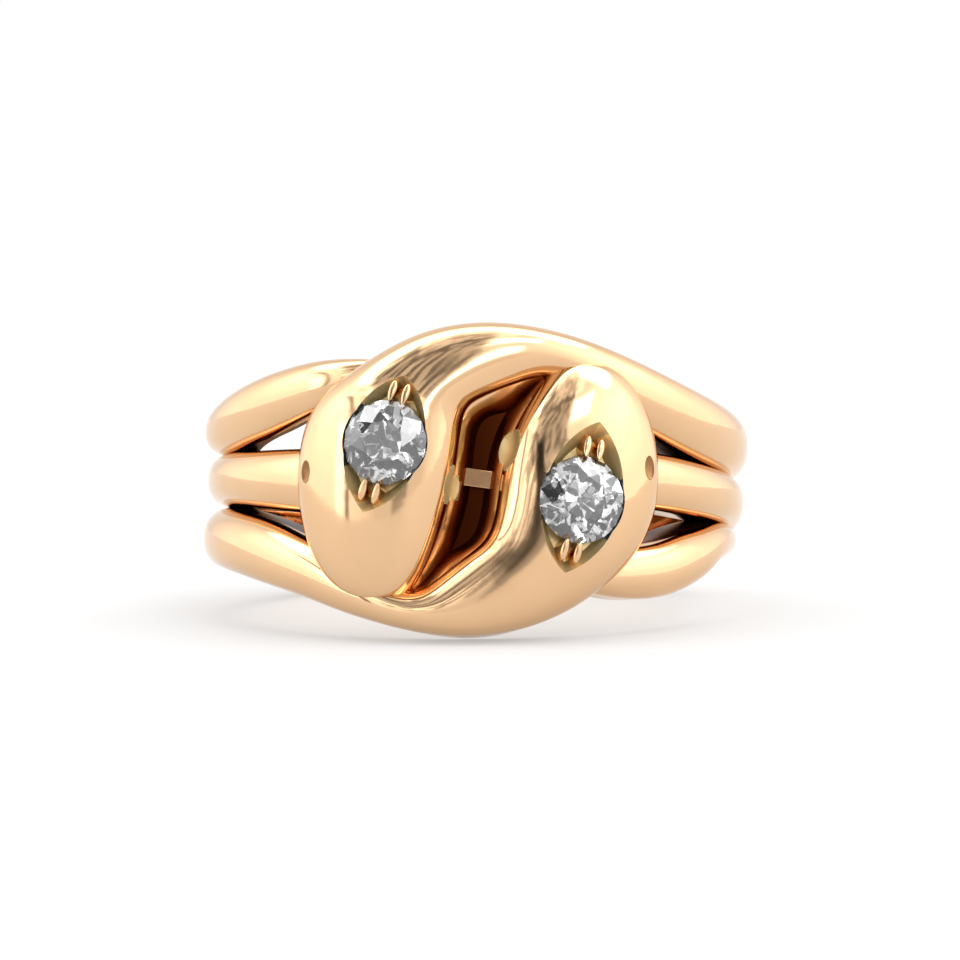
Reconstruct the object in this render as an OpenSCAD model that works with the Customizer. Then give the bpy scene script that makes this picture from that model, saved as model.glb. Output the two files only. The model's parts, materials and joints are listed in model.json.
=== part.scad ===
// Snake ring in rose gold with two old-cut diamonds, lying on its side.
// Two snakes coil once round the finger, each with its head beside the other's neck. Each body
// comes round the back as the middle strand and ends at the side of its own head. A tail comes
// out from under each neck and tapers to a tip at the side of the finger.
// Angles go round the finger from the front (-Y) towards the right (+X), heights go along it.

/* [Ring] */
// Inside diameter of the finger hole
finger_d = 17.5; // [16.5:0.1:18.5]
// Thickness of the outer strands at the sides of the finger
strand_t = 2.0; // [1.8:0.05:2.2]
// How far the finger axis leans back where the ring lies on its side
rest_pitch = 9.6; // [9:0.05:11]
// How far the ring rolls to one side where it lies
rest_roll = 0.62; // [0:0.01:1.5]

/* [Diamonds] */
// Diameter of the left diamond
left_stone_d = 3.2; // [3:0.05:3.3]
// Diameter of the right diamond
right_stone_d = 3.3; // [3.1:0.05:3.4]
// Table of a diamond as a share of its diameter
table_share = 0.5; // [0.45:0.01:0.6]
// Crown of a diamond as a share of its diameter
crown_share = 0.16; // [0.13:0.01:0.18]
// Pavilion of a diamond as a share of its diameter
pavilion_share = 0.43; // [0.4:0.01:0.44]

/* [Settings] */
// Length of the left eye-shaped pocket
left_pocket_l = 6.2; // [5.8:0.1:6.4]
// Length of the right eye-shaped pocket
right_pocket_l = 6.8; // [6.2:0.1:7]
// Depth of the pockets below the middle of the stone
pocket_depth = 0.55; // [0.4:0.05:0.7]
// Gap left between a diamond and its gold
stone_gap = 0.03; // [0.02:0.01:0.05]

/* [Joining bar] */
// Thickness of the bar between the heads, along the finger
bar_t = 0.68; // [0.5:0.02:0.8]

/* [Hidden] */

finger_r = finger_d / 2;
outer_w = finger_d + 2 * strand_t;
// The strips reach this far inside the finger hole before the hole is cut, a little further from
// row to row and from strip to strip, so that no two of them share a face there
under_cut = 0.45;
under_row = 0.004;
under_strip = 0.06;
// How high above the middle of its stone a pocket is cut
cut_h = 1.6;
// Sections between two rows of a table, and points across a section
row_steps = 3;
across_steps = 10;
// Where the middle of the ring comes to lie, from the middle of its foot
rest_at = [0.015, 0.63, 4.476];
gold = "#f0be92";
diamond = "#e8eef2";

// Columns of a snake's table, a row for each section from the nose to the tail
INNER_ANGLE = 0;
INNER_Z = 1;
OUTER_ANGLE = 2;
OUTER_Z = 3;
EDGE_T = 4;
CREST_T = 5;
FOOT = 6;

// The left snake: its inner side faces the other head, its wall is EDGE_T thick at both sides
// and CREST_T in the middle, and its inner side spreads by FOOT down to the finger
left_snake_rows = [
    [ -19.0, -4.72,  -19.6, -4.72, 1.45, 1.48, 0.00],
    [ -15.4, -4.48,  -24.4, -4.68, 1.45, 2.00, 0.10],
    [ -12.2, -3.85,  -29.0, -4.34, 1.45, 2.42, 0.20],
    [  -9.6, -2.95,  -33.2, -3.68, 1.45, 2.75, 0.30],
    [  -7.6, -2.00,  -36.6, -2.72, 1.45, 2.98, 0.35],
    [  -6.1, -1.10,  -38.8, -1.58, 1.45, 3.10, 0.40],
    [  -4.9, -0.22,  -39.8, -0.35, 1.45, 3.18, 0.40],
    [  -4.1,  0.65,  -39.5,  0.90, 1.45, 3.20, 0.40],
    [  -3.5,  1.45,  -37.9,  2.08, 1.45, 3.18, 0.40],
    [  -3.0,  2.08,  -34.6,  3.05, 1.45, 3.10, 0.40],
    [  -2.2,  2.52,  -29.8,  3.74, 1.42, 2.98, 0.40],
    [  -0.8,  2.80,  -24.4,  4.36, 1.40, 2.82, 0.50],
    [   1.4,  3.02,  -18.4,  4.98, 1.38, 2.65, 0.60],
    [   4.4,  3.26,  -11.4,  5.52, 1.35, 2.48, 0.70],
    [   8.5,  3.54,   -3.0,  5.84, 1.30, 2.32, 0.70],
    [  13.0,  3.82,    6.0,  5.88, 1.25, 2.20, 0.55],
    [  18.0,  3.80,   15.5,  5.66, 1.20, 2.10, 0.25],
    [  24.0,  3.30,   24.5,  5.30, 1.15, 2.04, 0.00],
    [  30.5,  2.62,   33.0,  4.86, 1.10, 2.00, 0.00],
    [  37.5,  2.05,   41.0,  4.44, 1.05, 2.00, 0.00],
    [  46.0,  1.55,   50.0,  4.02, 1.00, 2.00, 0.00],
    [  56.0,  1.12,   60.0,  3.66, 1.00, 2.00, 0.00],
    [  68.0,  0.84,   72.0,  3.38, 0.98, 2.00, 0.00],
    [  84.0,  0.68,   87.0,  3.18, 0.95, 2.00, 0.00],
    [ 103.0,  0.56,  104.0,  3.08, 0.90, 1.95, 0.00],
    [ 122.0,  0.42,  123.0,  3.12, 0.85, 1.85, 0.00],
    [ 144.0,  0.26,  144.0,  3.16, 0.80, 1.74, 0.00],
    [ 168.0,  0.12,  168.0,  3.12, 0.78, 1.68, 0.00],
    [ 192.0, -0.02,  192.0,  2.92, 0.78, 1.66, 0.00],
    [ 216.0, -0.14,  216.0,  2.60, 0.80, 1.70, 0.00],
    [ 238.0, -0.26,  238.0,  2.28, 0.82, 1.76, 0.00],
    [ 257.0, -0.38,  257.0,  1.94, 0.86, 1.82, 0.00],
    [ 273.0, -0.44,  273.0,  1.66, 0.90, 1.88, 0.00],
    [ 287.0, -0.52,  287.0,  1.58, 0.92, 1.88, 0.00],
    [ 298.0, -0.72,  298.0,  1.44, 0.95, 1.88, 0.00],
    [ 309.0, -0.96,  309.0,  1.38, 0.98, 1.86, 0.00],
    [ 319.0, -1.18,  319.0,  1.32, 1.00, 1.84, 0.00],
    [ 327.0, -1.26,  327.0,  1.28, 1.05, 1.80, 0.00],
];

// The right snake, in the same way, before it is turned half round about the front
right_snake_rows = [
    [ -22.4, -4.54,  -23.0, -4.54, 1.45, 1.48, 0.00],
    [ -18.2, -4.34,  -27.8, -4.42, 1.45, 2.00, 0.10],
    [ -14.9, -3.76,  -32.0, -4.02, 1.45, 2.42, 0.20],
    [ -12.2, -3.10,  -35.4, -3.38, 1.45, 2.75, 0.30],
    [  -9.7, -2.40,  -38.0, -2.54, 1.45, 2.98, 0.40],
    [  -7.7, -1.68,  -39.8, -1.62, 1.45, 3.10, 0.45],
    [  -6.2, -0.86,  -40.6, -0.62, 1.45, 3.18, 0.45],
    [  -5.1,  0.00,  -40.6,  0.40, 1.45, 3.20, 0.45],
    [  -4.5,  0.85,  -39.4,  1.42, 1.45, 3.18, 0.45],
    [  -3.7,  1.60,  -36.6,  2.42, 1.45, 3.10, 0.45],
    [  -2.6,  2.15,  -32.6,  3.32, 1.42, 2.98, 0.45],
    [  -0.9,  2.55,  -27.0,  4.18, 1.40, 2.82, 0.50],
    [   1.6,  2.90,  -20.6,  4.94, 1.38, 2.65, 0.60],
    [   4.4,  3.28,  -13.2,  5.54, 1.35, 2.48, 0.70],
    [   8.2,  3.80,   -4.8,  5.92, 1.30, 2.32, 0.70],
    [  12.3,  4.30,    4.4,  6.02, 1.25, 2.20, 0.55],
    [  17.0,  4.24,   14.0,  5.80, 1.20, 2.10, 0.25],
    [  23.0,  3.62,   23.2,  5.38, 1.15, 2.04, 0.00],
    [  30.0,  2.88,   31.6,  4.94, 1.10, 2.02, 0.00],
    [  38.0,  2.24,   40.0,  4.42, 1.05, 2.02, 0.00],
    [  46.0,  1.70,   48.5,  4.02, 1.00, 2.02, 0.00],
    [  55.0,  1.22,   58.5,  3.60, 1.00, 2.02, 0.00],
    [  67.0,  0.86,   70.0,  3.20, 0.98, 2.04, 0.00],
    [  84.0,  0.44,   86.0,  2.86, 0.95, 2.04, 0.00],
    [ 102.0,  0.36,  104.0,  2.80, 0.90, 1.96, 0.00],
    [ 125.0,  0.20,  126.0,  2.84, 0.85, 1.85, 0.00],
    [ 147.0,  0.06,  147.0,  2.90, 0.80, 1.74, 0.00],
    [ 172.0, -0.06,  172.0,  2.92, 0.78, 1.68, 0.00],
    [ 196.0, -0.20,  196.0,  2.90, 0.78, 1.66, 0.00],
    [ 220.0, -0.35,  220.0,  2.62, 0.80, 1.66, 0.00],
    [ 241.0, -0.50,  241.0,  2.11, 0.82, 1.70, 0.00],
    [ 259.0, -0.66,  259.0,  1.67, 0.86, 1.76, 0.00],
    [ 273.0, -0.78,  273.0,  1.26, 0.90, 1.82, 0.00],
    [ 287.0, -0.86,  287.0,  1.20, 0.92, 1.82, 0.00],
    [ 299.0, -0.94,  299.0,  1.17, 0.95, 1.82, 0.00],
    [ 309.0, -1.08,  309.0,  1.10, 0.98, 1.82, 0.00],
    [ 318.0, -1.20,  318.0,  1.02, 1.00, 1.80, 0.00],
    [ 326.0, -1.22,  326.0,  1.02, 1.05, 1.75, 0.00],
];

// The tail at the upper left, from its tip to its root under the left snake's neck
left_tail_rows = [
    [ 262.0,  1.84,  262.0,  2.20, 0.50, 0.62,  0.00],
    [ 266.0,  1.70,  266.0,  2.80, 0.80, 1.40,  0.00],
    [ 272.0,  1.58,  272.0,  3.28, 0.95, 1.92,  0.00],
    [ 279.0,  1.50,  278.0,  3.50, 1.00, 2.02,  0.00],
    [ 289.0,  1.52,  286.0,  3.72, 1.00, 2.02, -0.20],
    [ 300.0,  1.73,  297.0,  4.03, 1.00, 1.98, -0.25],
    [ 308.0,  1.94,  305.0,  4.26, 1.00, 1.94, -0.25],
    [ 316.0,  2.28,  314.0,  4.48, 1.00, 1.88, -0.25],
    [ 323.0,  2.66,  321.0,  4.62, 1.00, 1.80, -0.20],
    [ 330.0,  3.10,  328.0,  4.66, 1.00, 1.66, -0.10],
    [ 337.0,  3.60,  335.0,  4.60, 1.00, 1.45,  0.00],
];

// The tail at the lower right, in the same way as the right snake
right_tail_rows = [
    [ 250.0,  1.60,  250.0,  1.84, 0.50, 0.62, 0.00],
    [ 256.0,  1.40,  256.0,  2.08, 0.72, 1.10, 0.00],
    [ 264.0,  1.22,  264.0,  2.24, 0.84, 1.40, 0.00],
    [ 272.0,  1.14,  272.0,  2.34, 0.90, 1.50, 0.00],
    [ 282.0,  1.12,  282.0,  2.50, 0.92, 1.52, 0.05],
    [ 291.0,  1.30,  291.0,  2.86, 0.96, 1.62, 0.15],
    [ 300.0,  1.62,  299.0,  3.48, 1.00, 1.74, 0.25],
    [ 308.0,  1.88,  307.0,  4.00, 1.00, 1.82, 0.25],
    [ 316.0,  2.26,  314.0,  4.32, 1.00, 1.84, 0.25],
    [ 323.0,  2.46,  321.0,  4.46, 1.00, 1.78, 0.25],
    [ 331.0,  2.70,  329.0,  4.42, 1.00, 1.64, 0.20],
    [ 338.0,  3.10,  336.0,  4.20, 1.00, 1.45, 0.00],
];

// The plate that closes the gap behind the heads: low side and high side
plate_rows = [
    [ 346.6, -3.72,  346.6,  3.64, 0.50, 0.56, 0.00],
    [ 373.4, -3.66,  373.4,  3.78, 0.50, 0.56, 0.00],
];

// Where each diamond sits: angle, height along the finger, how far its middle lies outside the
// finger hole, the way it faces, and the lean of its pocket
SEAT_ANGLE = 0;
SEAT_Z = 1;
SEAT_OUT = 2;
SEAT_FACING = 3;
SEAT_LEAN = 4;
left_seat = [-17.2, 1.24, 2.82, -11, 17];
right_seat = [19.9, -0.90, 2.82, 16, 13];

// The small drilled eyes at the sides of a head: angle, height, distance outside the finger hole,
// radius, in the snake's own place
left_eyes = [[-34.3, 0.25, 2.94, 0.36], [-4.4, -0.72, 1.75, 0.55]];
right_eyes = [[-34.7, -0.40, 2.94, 0.36], [-7.3, -1.38, 2.00, 0.55]];

// A point at an angle round the finger, a height along it and a distance from its axis
function ring_point(angle, z, r) = [r * sin(angle), -r * cos(angle), z];

// A smooth curve through the rows of a table, four rows at a time
function blend_rows(a, b, c, d, t) =
    b + (c - a) * t / 2 + (a - 2.5 * b + 2 * c - d / 2) * t ^ 2
    + (-a / 2 + 1.5 * b - 1.5 * c + d / 2) * t ^ 3;
function row_at(rows, s) =
    let (last = len(rows) - 1, i = min(floor(s), last - 1))
    blend_rows(rows[max(i - 1, 0)], rows[i], rows[i + 1], rows[min(i + 2, last)], s - i);

// How far the wall has risen from its side to its crest, across the strip from 0 to 1
function dome(t) = sqrt(max(0, 1 - abs(2 * t - 1) ^ 2.3));

// The width of a section, measured at the finger
function row_width(row) =
    norm([(row[OUTER_ANGLE] - row[INNER_ANGLE]) * PI / 180 * finger_r, row[OUTER_Z] - row[INNER_Z]]);

// One section: the domed outside from the inner side to the outer side, then back under the band
// at a radius inside the finger hole
function section(row, under_r) = let (foot = row[FOOT] / row_width(row)) [
    for (k = [0 : across_steps])
        let (t = (1 - cos(180 * k / across_steps)) / 2)
        ring_point(
            row[INNER_ANGLE] + (row[OUTER_ANGLE] - row[INNER_ANGLE]) * t,
            row[INNER_Z] + (row[OUTER_Z] - row[INNER_Z]) * t,
            finger_r + row[EDGE_T] + (row[CREST_T] - row[EDGE_T]) * dome(t)),
    ring_point(row[OUTER_ANGLE], row[OUTER_Z], under_r),
    ring_point(
        row[INNER_ANGLE] - (row[OUTER_ANGLE] - row[INNER_ANGLE]) * foot,
        row[INNER_Z] - (row[OUTER_Z] - row[INNER_Z]) * foot,
        under_r),
];

// A closed strip lofted through the sections of a table, from one of its rows to another
module strip(rows, first, last, under) {
    count = (last - first) * row_steps;
    ring = across_steps + 3;
    points = [
        for (i = [0 : count])
            let (s = first + i / row_steps)
            each section(row_at(rows, s), finger_r - under - s * under_row)
    ];
    sides = [
        for (i = [0 : count - 1], k = [0 : ring - 1])
            let (a = i * ring + k, b = i * ring + (k + 1) % ring)
            each [[a, b, a + ring], [b, b + ring, a + ring]]
    ];
    ends = [
        [for (k = [ring - 1 : -1 : 0]) k],
        [for (k = [0 : ring - 1]) count * ring + k],
    ];
    polyhedron(points = points, faces = concat(sides, ends), convexity = 10);
}

// A snake is two strips that meet end to end at its back, so that its body can run into its own
// head, and a tail
module snake(rows, tail_rows, under) {
    back_row = len(rows) - 10;
    strip(rows, 0, back_row, under);
    strip(rows, back_row, len(rows) - 1, under);
    strip(tail_rows, 0, len(tail_rows) - 1, under + 2 * under_strip);
}

// Puts its children at a seat, with the way the stone faces as +Z and the top of the ring as +Y
module at_seat(seat) {
    translate(ring_point(seat[SEAT_ANGLE], seat[SEAT_Z], finger_r + seat[SEAT_OUT]))
        rotate([90, 0, seat[SEAT_FACING]])
            rotate([0, 0, -seat[SEAT_LEAN]])
                children();
}

// The outline of an eye: two equal arcs that meet at its tips, which lie on Y
module eye_outline(length, width) {
    arc_r = (length ^ 2 / 4 + width ^ 2 / 4) / width;
    intersection_for (side = [-1, 1])
        translate([side * (arc_r - width / 2), 0]) circle(r = arc_r, $fn = 72);
}

// The eye-shaped pocket that is cut in a head for its stone, with leaning walls
module pocket(stone_d, length) {
    floor_share = 0.62;
    translate([0, 0, -pocket_depth])
        linear_extrude(height = cut_h, scale = 1 / floor_share)
            scale(floor_share) eye_outline(length * 1.12, stone_d * 1.22);
}

// The seat of a stone's girdle and the hole under it, as large as the stone and its gap
module stone_hole(stone_d) {
    stone_r = stone_d / 2 + stone_gap;
    hole_h = stone_d * pavilion_share + 0.15;
    cylinder(r = stone_r, h = cut_h, $fn = 32);
    translate([0, 0, -hole_h]) cylinder(r1 = 0.3, r2 = stone_r, h = hole_h, $fn = 32);
}

// The grains that hold a stone, two at each tip of its pocket
module grains(stone_d) {
    grain_r = 0.22;
    grain_h = 0.25;
    root_h = pocket_depth + 0.2;
    for (tip = [-1, 1], side = [-1, 1])
        translate([side * 0.3, tip * (stone_d / 2 + 0.17), -root_h]) {
            cylinder(r = grain_r, h = root_h + grain_h, $fn = 8);
            translate([0, 0, root_h + grain_h]) sphere(r = grain_r, $fn = 8);
        }
}

// The drilled eyes of a snake
module drill_eyes(eyes) {
    for (eye = eyes)
        translate(ring_point(eye[0], eye[1], finger_r + eye[2])) sphere(r = eye[3], $fn = 12);
}

// The bar that joins the two heads across the gap, its right end a little lower
module joining_bar() {
    bar_w = 2.2;
    bar_depth = 0.75;
    bar_out = 0.82;
    bar_turn = 4;
    translate([0, -finger_r - bar_out, 0])
        rotate([0, bar_turn, 0])
            cube([bar_w, bar_depth, bar_t], center = true);
}

// Both snakes, the bar and the plate, before the finger hole is cut
module coil() {
    snake(left_snake_rows, left_tail_rows, under_cut);
    rotate([0, 180, 0]) snake(right_snake_rows, right_tail_rows, under_cut + under_strip);
    strip(plate_rows, 0, len(plate_rows) - 1, under_cut + 4 * under_strip);
    joining_bar();
}

// The ring turned to the way it lies, with the middle of its foot at the origin
module at_rest() {
    translate(rest_at)
        rotate([-rest_pitch, 0, 0])
            rotate([0, rest_roll, 0])
                children();
}

// The coil with its pockets and drilled eyes cut, and the grains that stand in the pockets
module carved_coil() {
    difference() {
        coil();
        at_seat(left_seat) pocket(left_stone_d, left_pocket_l);
        at_seat(right_seat) pocket(right_stone_d, right_pocket_l);
        drill_eyes(left_eyes);
        rotate([0, 180, 0]) drill_eyes(right_eyes);
    }
    at_seat(left_seat) grains(left_stone_d);
    at_seat(right_seat) grains(right_stone_d);
}

// The flat facets leave the coil a little narrow, so it is brought to its full width. The finger
// hole is cut last.
module snake_band() {
    color(gold) at_rest() difference() {
        resize([outer_w, 0, 0]) {
            difference() {
                carved_coil();
                at_seat(left_seat) stone_hole(left_stone_d);
                at_seat(right_seat) stone_hole(right_stone_d);
            }
        }
        cylinder(r = finger_r, h = 20, center = true, $fn = 96);
    }
}

// A round old-cut diamond, its girdle at 0 and its table up
module cut_stone(stone_d) {
    r = stone_d / 2;
    crown_h = stone_d * crown_share;
    pavilion_h = stone_d * pavilion_share;
    girdle_h = 0.03;
    table_r = r * table_share;
    star_r = r * 0.76;
    star_h = crown_h * (r - star_r * cos(22.5)) / (r - table_r);
    lower_r = r * 0.5;
    culet_r = r * 0.07;
    lower_h = pavilion_h * (r - lower_r * cos(22.5)) / (r - culet_r * cos(22.5));
    function ring_of(n, radius, z, turn) =
        [for (k = [0 : n - 1]) [radius * cos(turn + 360 * k / n), radius * sin(turn + 360 * k / n), z]];
    points = concat(
        ring_of(8, table_r, crown_h + girdle_h, 0),
        ring_of(8, star_r, star_h + girdle_h, 22.5),
        ring_of(16, r, girdle_h, 0),
        ring_of(16, r, -girdle_h, 0),
        ring_of(8, lower_r, -lower_h - girdle_h, 22.5),
        ring_of(8, culet_r, -pavilion_h - girdle_h, 22.5));
    star = 8;
    upper = 16;
    under = 32;
    lower = 48;
    culet = 56;
    faces = concat(
        [[for (k = [7 : -1 : 0]) k]],
        [for (k = [0 : 7]) let (n = (k + 1) % 8, p = (k + 7) % 8) each [
            [k, n, star + k],
            [k, star + k, upper + 2 * k, star + p],
            [star + k, upper + 2 * k + 1, upper + 2 * k],
            [star + k, upper + 2 * n, upper + 2 * k + 1],
            [lower + k, under + 2 * k, under + 2 * k + 1],
            [lower + k, under + 2 * k + 1, under + 2 * n],
            [culet + p, lower + p, under + 2 * k, lower + k, culet + k]]],
        [for (j = [0 : 15]) let (n = (j + 1) % 16)
            [upper + j, upper + n, under + n, under + j]],
        [[for (k = [0 : 7]) culet + k]]);
    polyhedron(points = points, faces = faces, convexity = 2);
}

module left_diamond() {
    color(diamond) at_rest() at_seat(left_seat) cut_stone(left_stone_d);
}

module right_diamond() {
    color(diamond) at_rest() at_seat(right_seat) cut_stone(right_stone_d);
}

snake_band();
left_diamond();
right_diamond();
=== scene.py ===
"""A rose gold snake ring with two old-cut diamonds, lying on its side on a pale studio floor.

Two snakes coil once round the finger, and each has its head beside the other's neck. The gold is
made of smooth strips, worked out with numpy from the same rows of sections as the part's source,
and the pockets, seats and drilled eyes are cut from them. Angles go round the finger from the
front (-Y) towards the right (+X), and heights go along it, both in the ring's own place. The last
step turns every piece to the way the ring lies.
"""

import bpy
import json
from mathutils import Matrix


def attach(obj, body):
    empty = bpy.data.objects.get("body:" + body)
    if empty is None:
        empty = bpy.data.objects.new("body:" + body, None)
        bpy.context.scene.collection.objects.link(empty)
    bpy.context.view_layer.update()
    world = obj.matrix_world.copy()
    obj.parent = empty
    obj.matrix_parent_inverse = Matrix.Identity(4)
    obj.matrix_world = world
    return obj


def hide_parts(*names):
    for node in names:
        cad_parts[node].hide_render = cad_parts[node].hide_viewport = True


bl_info = {
    "name": "Snake Ring",
    "version": (1, 0, 0),
    "blender": (4, 5, 0),
    "location": "View3D > Sidebar > Snake Ring",
    "description": "Builds a double snake ring with two diamonds in a pale studio",
    "category": "Object",
}

import json
import math

import bpy
import numpy as np
from bpy.props import FloatProperty, FloatVectorProperty, IntProperty, PointerProperty
from mathutils import Matrix, Vector

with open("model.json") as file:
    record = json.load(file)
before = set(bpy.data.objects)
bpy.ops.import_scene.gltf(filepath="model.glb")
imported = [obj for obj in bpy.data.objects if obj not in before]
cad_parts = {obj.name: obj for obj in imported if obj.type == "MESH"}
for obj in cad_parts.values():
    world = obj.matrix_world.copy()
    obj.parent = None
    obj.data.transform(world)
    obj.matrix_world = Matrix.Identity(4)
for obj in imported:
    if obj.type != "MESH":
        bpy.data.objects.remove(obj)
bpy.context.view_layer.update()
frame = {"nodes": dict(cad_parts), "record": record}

MM = 0.001
BAND_NODE = "snake_band"
STONE_NODES = ("left_diamond", "right_diamond")

MOUNT = frame["record"]["mounts"][0]
FINGER_R = MOUNT["dims"]["r_mm"]
FINGER_AXIS = Vector(MOUNT["axis"]).normalized()

# Columns of a snake's table, a row for each section from the nose to the tail. Angles in degrees,
# the rest in millimetres.
INNER_ANGLE, INNER_Z, OUTER_ANGLE, OUTER_Z, EDGE_T, CREST_T, FOOT = range(7)

LEFT_SNAKE_ROWS = np.array([
    [-19.0, -4.72, -19.6, -4.72, 1.45, 1.48, 0.10],
    [-15.4, -4.48, -24.4, -4.68, 1.45, 2.00, 0.30],
    [-12.2, -3.85, -29.0, -4.34, 1.45, 2.42, 0.45],
    [-9.6, -2.95, -33.2, -3.68, 1.45, 2.75, 0.60],
    [-7.6, -2.00, -36.6, -2.72, 1.45, 2.98, 0.65],
    [-6.1, -1.10, -38.8, -1.58, 1.45, 3.10, 0.65],
    [-4.9, -0.22, -39.8, -0.35, 1.45, 3.18, 0.60],
    [-4.1, 0.65, -39.5, 0.90, 1.45, 3.20, 0.55],
    [-3.5, 1.45, -37.9, 2.08, 1.45, 3.18, 0.55],
    [-3.0, 2.08, -34.6, 3.05, 1.45, 3.10, 0.60],
    [-2.2, 2.52, -29.8, 3.74, 1.42, 2.98, 0.80],
    [-0.8, 2.80, -24.4, 4.36, 1.40, 2.82, 1.00],
    [1.4, 3.02, -18.4, 4.98, 1.38, 2.65, 1.05],
    [4.4, 3.26, -11.4, 5.52, 1.35, 2.48, 1.00],
    [8.5, 3.54, -3.0, 5.84, 1.30, 2.32, 0.85],
    [13.0, 3.82, 6.0, 5.88, 1.25, 2.20, 0.55],
    [18.0, 3.80, 15.5, 5.66, 1.20, 2.10, 0.25],
    [24.0, 3.30, 24.5, 5.30, 1.15, 2.04, 0.00],
    [30.5, 2.62, 33.0, 4.86, 1.10, 2.00, 0.00],
    [37.5, 2.05, 41.0, 4.44, 1.05, 2.00, 0.00],
    [46.0, 1.55, 50.0, 4.02, 1.00, 2.00, 0.00],
    [56.0, 1.12, 60.0, 3.66, 1.00, 2.00, 0.00],
    [68.0, 0.84, 72.0, 3.38, 0.98, 2.00, 0.00],
    [84.0, 0.68, 87.0, 3.18, 0.95, 2.00, 0.00],
    [103.0, 0.56, 104.0, 3.08, 0.90, 1.95, 0.00],
    [122.0, 0.42, 123.0, 3.12, 0.85, 1.85, 0.00],
    [144.0, 0.26, 144.0, 3.16, 0.80, 1.74, 0.00],
    [168.0, 0.12, 168.0, 3.12, 0.78, 1.68, 0.00],
    [192.0, -0.02, 192.0, 2.92, 0.78, 1.66, 0.00],
    [216.0, -0.14, 216.0, 2.60, 0.80, 1.70, 0.00],
    [238.0, -0.26, 238.0, 2.28, 0.82, 1.76, 0.00],
    [257.0, -0.38, 257.0, 1.94, 0.86, 1.82, 0.00],
    [273.0, -0.44, 273.0, 1.66, 0.90, 1.88, 0.00],
    [287.0, -0.52, 287.0, 1.58, 0.92, 1.88, 0.00],
    [298.0, -0.72, 298.0, 1.44, 0.95, 1.88, 0.00],
    [309.0, -0.96, 309.0, 1.38, 0.98, 1.86, 0.00],
    [319.0, -1.18, 319.0, 1.32, 1.00, 1.84, 0.00],
    [327.0, -1.26, 327.0, 1.28, 1.05, 1.80, 0.00],
])

# The right snake, in the same way, before it is turned half round about the front
RIGHT_SNAKE_ROWS = np.array([
    [-22.4, -4.54, -23.0, -4.54, 1.45, 1.48, 0.10],
    [-18.2, -4.34, -27.8, -4.42, 1.45, 2.00, 0.20],
    [-14.9, -3.76, -32.0, -4.02, 1.45, 2.42, 0.30],
    [-12.2, -3.10, -35.4, -3.38, 1.45, 2.75, 0.45],
    [-9.7, -2.40, -38.0, -2.54, 1.45, 2.98, 0.55],
    [-7.7, -1.68, -39.8, -1.62, 1.45, 3.10, 0.55],
    [-6.2, -0.86, -40.6, -0.62, 1.45, 3.18, 0.55],
    [-5.1, 0.00, -40.6, 0.40, 1.45, 3.20, 0.50],
    [-4.5, 0.85, -39.4, 1.42, 1.45, 3.18, 0.50],
    [-3.7, 1.60, -36.6, 2.42, 1.45, 3.10, 0.50],
    [-2.6, 2.15, -32.6, 3.32, 1.42, 2.98, 0.50],
    [-0.9, 2.55, -27.0, 4.18, 1.40, 2.82, 0.55],
    [1.6, 2.90, -20.6, 4.94, 1.38, 2.65, 0.60],
    [4.4, 3.28, -13.2, 5.54, 1.35, 2.48, 0.70],
    [8.2, 3.80, -4.8, 5.92, 1.30, 2.32, 0.70],
    [12.3, 4.30, 4.4, 6.02, 1.25, 2.20, 0.55],
    [17.0, 4.24, 14.0, 5.80, 1.20, 2.10, 0.25],
    [23.0, 3.62, 23.2, 5.38, 1.15, 2.04, 0.00],
    [30.0, 2.88, 31.6, 4.94, 1.10, 2.02, 0.00],
    [38.0, 2.24, 40.0, 4.42, 1.05, 2.02, 0.00],
    [46.0, 1.70, 48.5, 4.02, 1.00, 2.02, 0.00],
    [55.0, 1.22, 58.5, 3.60, 1.00, 2.02, 0.00],
    [67.0, 0.86, 70.0, 3.20, 0.98, 2.04, 0.00],
    [84.0, 0.44, 86.0, 2.86, 0.95, 2.04, 0.00],
    [102.0, 0.36, 104.0, 2.80, 0.90, 1.96, 0.00],
    [125.0, 0.20, 126.0, 2.84, 0.85, 1.85, 0.00],
    [147.0, 0.06, 147.0, 2.90, 0.80, 1.74, 0.00],
    [172.0, -0.06, 172.0, 2.92, 0.78, 1.68, 0.00],
    [196.0, -0.20, 196.0, 2.90, 0.78, 1.66, 0.00],
    [220.0, -0.35, 220.0, 2.62, 0.80, 1.66, 0.00],
    [241.0, -0.50, 241.0, 2.11, 0.82, 1.70, 0.00],
    [259.0, -0.66, 259.0, 1.67, 0.86, 1.76, 0.00],
    [273.0, -0.78, 273.0, 1.26, 0.90, 1.82, 0.00],
    [287.0, -0.86, 287.0, 1.20, 0.92, 1.82, 0.00],
    [299.0, -0.94, 299.0, 1.17, 0.95, 1.82, 0.00],
    [309.0, -1.08, 309.0, 1.10, 0.98, 1.82, 0.00],
    [318.0, -1.20, 318.0, 1.02, 1.00, 1.80, 0.00],
    [326.0, -1.22, 326.0, 1.02, 1.05, 1.75, 0.00],
])

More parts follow.
